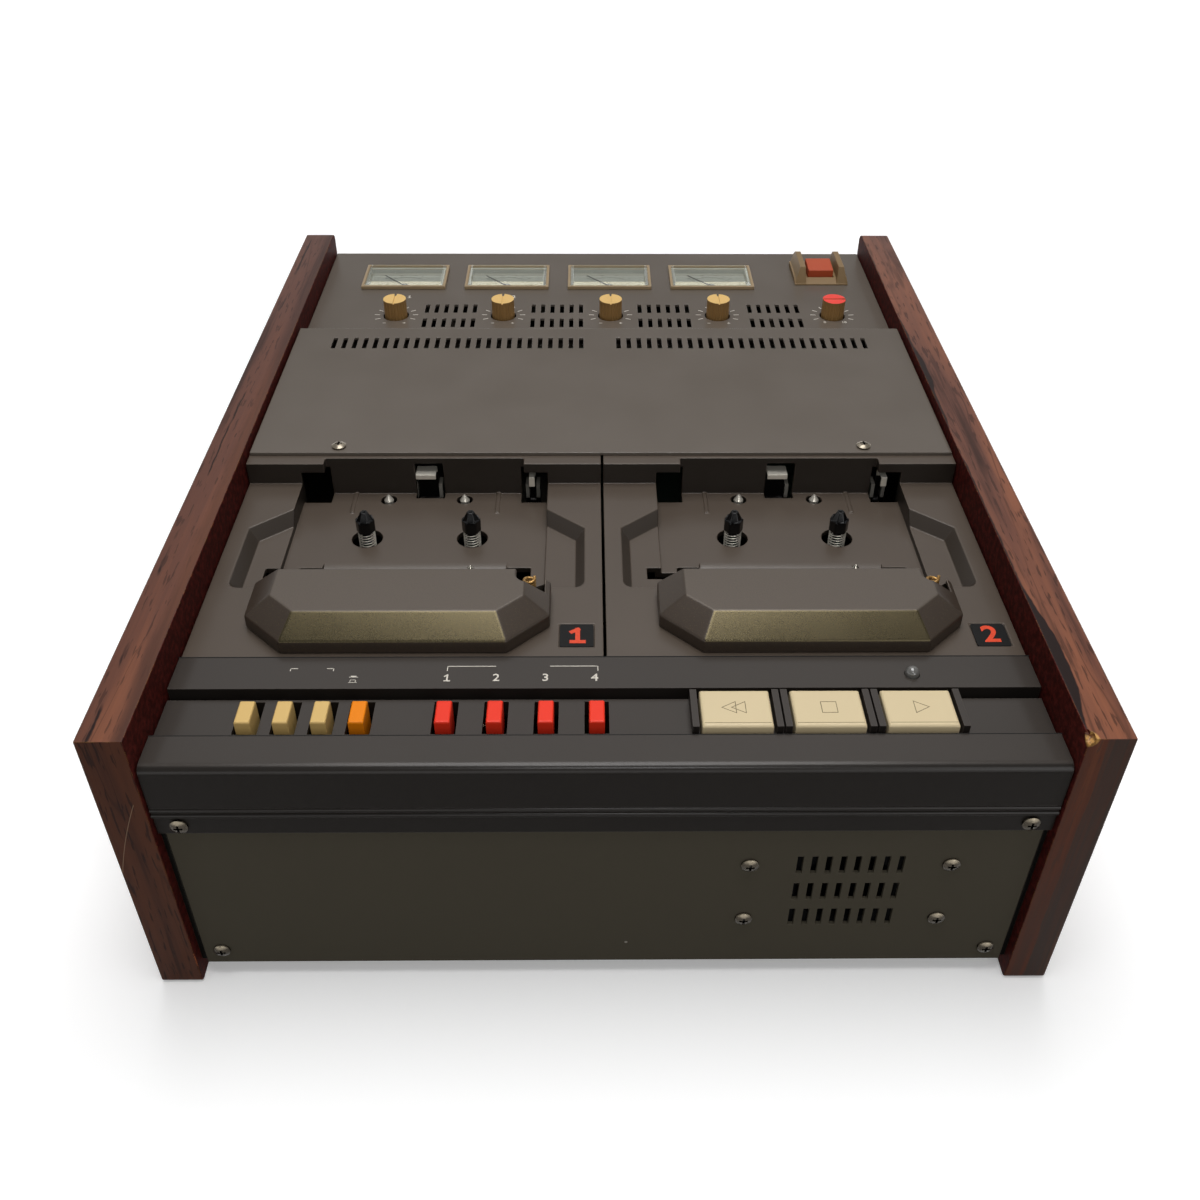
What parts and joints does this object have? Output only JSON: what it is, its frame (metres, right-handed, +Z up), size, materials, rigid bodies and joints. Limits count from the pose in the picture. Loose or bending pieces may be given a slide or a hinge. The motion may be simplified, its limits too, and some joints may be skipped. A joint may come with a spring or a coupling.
{
  "type": "cassette duplicator",
  "caption": "Desktop cassette-to-cassette duplicator with veneered wooden cheeks, open wells under faceted head covers, a trough of buttons and keys, level knobs and needle meters.",
  "frame": {"origin": "on the floor under the middle of the cheeks' outline", "axes": "+X to the right seen from the front, +Y to the rear, +Z up"},
  "size_m": [0.326, 0.4, 0.125],
  "materials": {
    "cheek_veneer": "satin lacquered rosewood veneer",
    "pan_paint": "satin dark paint",
    "panel_paint": "satin dark olive-grey paint",
    "fascia_plastic": "satin charcoal brown",
    "well_plastic": "fine-grained brown grey",
    "hood_plastic": "metallic-flecked brown paint",
    "deck_paint": "satin grey-brown paint",
    "screw_steel": "bronzed steel",
    "guard_plastic": "satin tan",
    "rocker_plastic": "glossy orange red",
    "lamp_clear": "smoky clear",
    "meter_plastic": "satin tan, pale dial",
    "lens_clear": "clear moulded lens",
    "needle_black": "black",
    "knob_gold": "gold anodised, spun top and ribbed side",
    "knob_red": "red top, ribbed dark side",
    "button_beige": "satin beige",
    "button_orange": "satin orange",
    "button_red": "satin red",
    "key_cream": "satin cream",
    "spindle_steel": "turned steel",
    "tip_black": "black moulded",
    "spring_steel": "bright wire",
    "capstan_steel": "ground steel",
    "bridge_steel": "pressed steel with bright heads",
    "roller_rubber": "matt black rubber",
    "lever_steel": "pressed steel",
    "plate_steel": "plated sheet",
    "motor_steel": "drawn can",
    "board_green": "laminate with parts",
    "core_iron": "varnished laminations",
    "inlet_black": "black moulded",
    "speaker_black": "black frame"
  },
  "bodies": {
    "case": {"side_cheeks": "cheek_veneer", "chassis_pan": "pan_paint", "front_panel": "panel_paint", "fascia": "fascia_plastic", "master_well": "well_plastic", "slave_well": "well_plastic", "head_covers": "hood_plastic", "cover_plate": "deck_paint", "meter_deck": "deck_paint", "case_screws": "screw_steel", "switch_guard": "guard_plastic", "indicator_lamp": "lamp_clear", "meter_cases": "meter_plastic", "meter_lenses": "lens_clear", "tip_springs": "spring_steel", "transport_plates": "plate_steel", "deck_motors": "motor_steel", "circuit_boards": "board_green", "transformer": "core_iron", "power_inlet": "inlet_black", "monitor_speaker": "speaker_black"},
    "level_knob_1": {"level_knob_1": "knob_gold"},
    "level_knob_2": {"level_knob_2": "knob_gold"},
    "level_knob_3": {"level_knob_3": "knob_gold"},
    "level_knob_4": {"level_knob_4": "knob_gold"},
    "monitor_knob": {"monitor_knob": "knob_red"},
    "power_rocker": {"power_rocker": "rocker_plastic"},
    "option_button_1": {"option_button_1": "button_beige"},
    "option_button_2": {"option_button_2": "button_beige"},
    "option_button_3": {"option_button_3": "button_beige"},
    "option_button_4": {"option_button_4": "button_orange"},
    "record_button_1": {"record_button_1": "button_red"},
    "record_button_2": {"record_button_2": "button_red"},
    "record_button_3": {"record_button_3": "button_red"},
    "record_button_4": {"record_button_4": "button_red"},
    "rewind_key": {"rewind_key": "key_cream"},
    "stop_key": {"stop_key": "key_cream"},
    "copy_key": {"copy_key": "key_cream"},
    "reel_spindle_1": {"reel_spindle_1": "spindle_steel"},
    "reel_spindle_2": {"reel_spindle_2": "spindle_steel"},
    "reel_spindle_3": {"reel_spindle_3": "spindle_steel"},
    "reel_spindle_4": {"reel_spindle_4": "spindle_steel"},
    "spindle_tip_1": {"spindle_tip_1": "tip_black"},
    "spindle_tip_2": {"spindle_tip_2": "tip_black"},
    "spindle_tip_3": {"spindle_tip_3": "tip_black"},
    "spindle_tip_4": {"spindle_tip_4": "tip_black"},
    "master_capstan": {"master_capstan": "capstan_steel"},
    "master_head_bridge": {"master_head_bridge": "bridge_steel"},
    "master_pinch_roller": {"master_pinch_roller": "roller_rubber"},
    "master_hold_down": {"master_hold_down": "lever_steel"},
    "master_tab_lever": {"master_tab_lever": "lever_steel"},
    "slave_capstan": {"slave_capstan": "capstan_steel"},
    "slave_head_bridge": {"slave_head_bridge": "bridge_steel"},
    "slave_pinch_roller": {"slave_pinch_roller": "roller_rubber"},
    "slave_hold_down": {"slave_hold_down": "lever_steel"},
    "slave_tab_lever": {"slave_tab_lever": "lever_steel"},
    "meter_needle_1": {"meter_needle_1": "needle_black"},
    "meter_needle_2": {"meter_needle_2": "needle_black"},
    "meter_needle_3": {"meter_needle_3": "needle_black"},
    "meter_needle_4": {"meter_needle_4": "needle_black"}
  },
  "joints": [
    {"name": "level_knob_1_turn", "type": "hinge", "parent": "case", "child": "level_knob_1", "pos_m": [-0.1046, 0.1188, 0.1135], "axis": [0, 0, 1], "range_deg": [-150, 150]},
    {"name": "level_knob_2_turn", "type": "hinge", "parent": "case", "child": "level_knob_2", "pos_m": [-0.0493, 0.1188, 0.1135], "axis": [0, 0, 1], "range_deg": [-150, 150]},
    {"name": "level_knob_3_turn", "type": "hinge", "parent": "case", "child": "level_knob_3", "pos_m": [0.006, 0.1188, 0.1135], "axis": [0, 0, 1], "range_deg": [-150, 150]},
    {"name": "level_knob_4_turn", "type": "hinge", "parent": "case", "child": "level_knob_4", "pos_m": [0.0613, 0.1188, 0.1135], "axis": [0, 0, 1], "range_deg": [-150, 150]},
    {"name": "monitor_knob_turn", "type": "hinge", "parent": "case", "child": "monitor_knob", "pos_m": [0.1208, 0.1188, 0.1135], "axis": [0, 0, 1], "range_deg": [-150, 150]},
    {"name": "power_rocker_rock", "type": "hinge", "parent": "case", "child": "power_rocker", "pos_m": [0.1208, 0.169, 0.1105], "axis": [1, 0, 0], "range_deg": [-8, 0]},
    {"name": "option_button_1_press", "type": "slide", "parent": "case", "child": "option_button_1", "axis": [0, 0, -1], "range_m": [0, 0.003], "stiffness_N_per_m": 300, "springref_m": -0.002},
    {"name": "option_button_2_press", "type": "slide", "parent": "case", "child": "option_button_2", "axis": [0, 0, -1], "range_m": [0, 0.003], "stiffness_N_per_m": 300, "springref_m": -0.002},
    {"name": "option_button_3_press", "type": "slide", "parent": "case", "child": "option_button_3", "axis": [0, 0, -1], "range_m": [0, 0.003], "stiffness_N_per_m": 300, "springref_m": -0.002},
    {"name": "option_button_4_press", "type": "slide", "parent": "case", "child": "option_button_4", "axis": [0, 0, -1], "range_m": [0, 0.003], "stiffness_N_per_m": 300, "springref_m": -0.002},
    {"name": "record_button_1_press", "type": "slide", "parent": "case", "child": "record_button_1", "axis": [0, 0, -1], "range_m": [0, 0.003], "stiffness_N_per_m": 300, "springref_m": -0.002},
    {"name": "record_button_2_press", "type": "slide", "parent": "case", "child": "record_button_2", "axis": [0, 0, -1], "range_m": [0, 0.003], "stiffness_N_per_m": 300, "springref_m": -0.002},
    {"name": "record_button_3_press", "type": "slide", "parent": "case", "child": "record_button_3", "axis": [0, 0, -1], "range_m": [0, 0.003], "stiffness_N_per_m": 300, "springref_m": -0.002},
    {"name": "record_button_4_press", "type": "slide", "parent": "case", "child": "record_button_4", "axis": [0, 0, -1], "range_m": [0, 0.003], "stiffness_N_per_m": 300, "springref_m": -0.002},
    {"name": "rewind_key_press", "type": "slide", "parent": "case", "child": "rewind_key", "axis": [0, 0, -1], "range_m": [0, 0.002], "stiffness_N_per_m": 600, "springref_m": -0.002},
    {"name": "stop_key_press", "type": "slide", "parent": "case", "child": "stop_key", "axis": [0, 0, -1], "range_m": [0, 0.002], "stiffness_N_per_m": 600, "springref_m": -0.002},
    {"name": "copy_key_press", "type": "slide", "parent": "case", "child": "copy_key", "axis": [0, 0, -1], "range_m": [0, 0.002], "stiffness_N_per_m": 600, "springref_m": -0.002},
    {"name": "reel_spindle_1_spin", "type": "hinge", "parent": "case", "child": "reel_spindle_1", "pos_m": [-0.09525, -0.0626, 0.09], "axis": [0, 0, 1], "continuous": true},
    {"name": "reel_spindle_2_spin", "type": "hinge", "parent": "case", "child": "reel_spindle_2", "pos_m": [-0.05275, -0.0626, 0.09], "axis": [0, 0, 1], "continuous": true},
    {"name": "reel_spindle_3_spin", "type": "hinge", "parent": "case", "child": "reel_spindle_3", "pos_m": [0.05275, -0.0626, 0.09], "axis": [0, 0, 1], "continuous": true},
    {"name": "reel_spindle_4_spin", "type": "hinge", "parent": "case", "child": "reel_spindle_4", "pos_m": [0.09525, -0.0626, 0.09], "axis": [0, 0, 1], "continuous": true},
    {"name": "spindle_tip_1_press", "type": "slide", "parent": "reel_spindle_1", "child": "spindle_tip_1", "axis": [0, 0, -1], "range_m": [0, 0.003], "stiffness_N_per_m": 150, "springref_m": -0.002, "deforming": ["tip_springs"]},
    {"name": "spindle_tip_2_press", "type": "slide", "parent": "reel_spindle_2", "child": "spindle_tip_2", "axis": [0, 0, -1], "range_m": [0, 0.003], "stiffness_N_per_m": 150, "springref_m": -0.002, "deforming": ["tip_springs"]},
    {"name": "spindle_tip_3_press", "type": "slide", "parent": "reel_spindle_3", "child": "spindle_tip_3", "axis": [0, 0, -1], "range_m": [0, 0.003], "stiffness_N_per_m": 150, "springref_m": -0.002, "deforming": ["tip_springs"]},
    {"name": "spindle_tip_4_press", "type": "slide", "parent": "reel_spindle_4", "child": "spindle_tip_4", "axis": [0, 0, -1], "range_m": [0, 0.003], "stiffness_N_per_m": 150, "springref_m": -0.002, "deforming": ["tip_springs"]},
    {"name": "master_capstan_spin", "type": "hinge", "parent": "case", "child": "master_capstan", "pos_m": [-0.051, -0.0915, 0.08], "axis": [0, 0, 1], "continuous": true},
    {"name": "master_head_bridge_slide", "type": "slide", "parent": "case", "child": "master_head_bridge", "axis": [0, 1, 0], "range_m": [0, 0.008], "stiffness_N_per_m": 60, "springref_m": -0.004},
    {"name": "master_pinch_roller_spin", "type": "hinge", "parent": "master_head_bridge", "child": "master_pinch_roller", "pos_m": [-0.051, -0.10655, 0.1074], "axis": [0, 0, 1], "continuous": true},
    {"name": "master_hold_down_tilt", "type": "hinge", "parent": "case", "child": "master_hold_down", "pos_m": [-0.074, -0.025, 0.096], "axis": [1, 0, 0], "range_deg": [-12, 0], "stiffness_Nm_per_rad": 0.05, "springref_deg": 5.73},
    {"name": "master_tab_lever_tilt", "type": "hinge", "parent": "case", "child": "master_tab_lever", "pos_m": [-0.0294, -0.025, 0.096], "axis": [1, 0, 0], "range_deg": [-10, 0], "stiffness_Nm_per_rad": 0.02, "springref_deg": 5.73},
    {"name": "slave_capstan_spin", "type": "hinge", "parent": "case", "child": "slave_capstan", "pos_m": [0.097, -0.0915, 0.08], "axis": [0, 0, 1], "continuous": true},
    {"name": "slave_head_bridge_slide", "type": "slide", "parent": "case", "child": "slave_head_bridge", "axis": [0, 1, 0], "range_m": [0, 0.008], "stiffness_N_per_m": 60, "springref_m": -0.004},
    {"name": "slave_pinch_roller_spin", "type": "hinge", "parent": "slave_head_bridge", "child": "slave_pinch_roller", "pos_m": [0.097, -0.10655, 0.1074], "axis": [0, 0, 1], "continuous": true},
    {"name": "slave_hold_down_tilt", "type": "hinge", "parent": "case", "child": "slave_hold_down", "pos_m": [0.074, -0.025, 0.096], "axis": [1, 0, 0], "range_deg": [-12, 0], "stiffness_Nm_per_rad": 0.05, "springref_deg": 5.73},
    {"name": "slave_tab_lever_tilt", "type": "hinge", "parent": "case", "child": "slave_tab_lever", "pos_m": [0.1186, -0.025, 0.096], "axis": [1, 0, 0], "range_deg": [-10, 0], "stiffness_Nm_per_rad": 0.02, "springref_deg": 5.73},
    {"name": "meter_needle_1_swing", "type": "hinge", "parent": "case", "child": "meter_needle_1", "pos_m": [-0.1046, 0.156, 0.113], "axis": [0, 0, -1], "range_deg": [0, 84], "stiffness_Nm_per_rad": 0.00002, "springref_deg": -5.73},
    {"name": "meter_needle_2_swing", "type": "hinge", "parent": "case", "child": "meter_needle_2", "pos_m": [-0.0493, 0.156, 0.113], "axis": [0, 0, -1], "range_deg": [0, 84], "stiffness_Nm_per_rad": 0.00002, "springref_deg": -5.73},
    {"name": "meter_needle_3_swing", "type": "hinge", "parent": "case", "child": "meter_needle_3", "pos_m": [0.006, 0.156, 0.113], "axis": [0, 0, -1], "range_deg": [0, 84], "stiffness_Nm_per_rad": 0.00002, "springref_deg": -5.73},
    {"name": "meter_needle_4_swing", "type": "hinge", "parent": "case", "child": "meter_needle_4", "pos_m": [0.0613, 0.156, 0.113], "axis": [0, 0, -1], "range_deg": [0, 84], "stiffness_Nm_per_rad": 0.00002, "springref_deg": -5.73}
  ]
}
